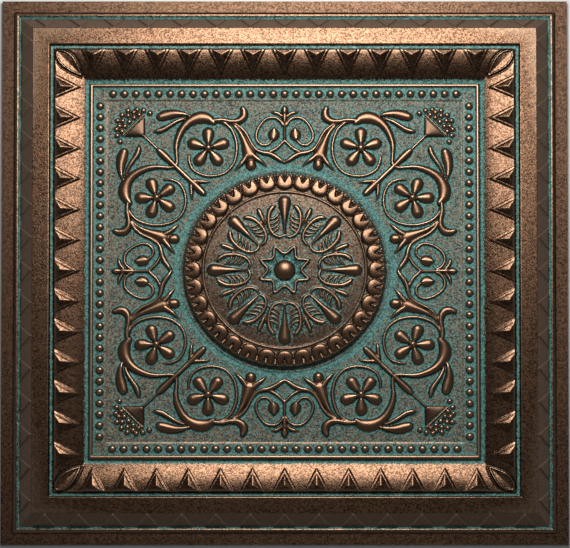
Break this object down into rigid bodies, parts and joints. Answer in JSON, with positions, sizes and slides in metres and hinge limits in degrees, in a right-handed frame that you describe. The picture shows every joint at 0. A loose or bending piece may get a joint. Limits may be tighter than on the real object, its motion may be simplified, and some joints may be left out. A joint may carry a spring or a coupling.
{
  "type": "foam ceiling tile",
  "caption": "Square moulded foam ceiling tile with a stepped frame, bead and dart mouldings, scrollwork and a central rosette, on a flat back that is glued to a ceiling.",
  "frame": {"origin": "middle of the flat back, on the surface the tile lies on", "axes": "+Z out of the decorated face, +X and +Y along two edges"},
  "size_m": [0.5, 0.5, 0.014],
  "materials": {
    "patinated_foam": "metallic bronze paint with blue-green patina in the recesses"
  },
  "bodies": {
    "root": {"ceiling_tile": "patinated_foam"}
  },
  "joints": []
}
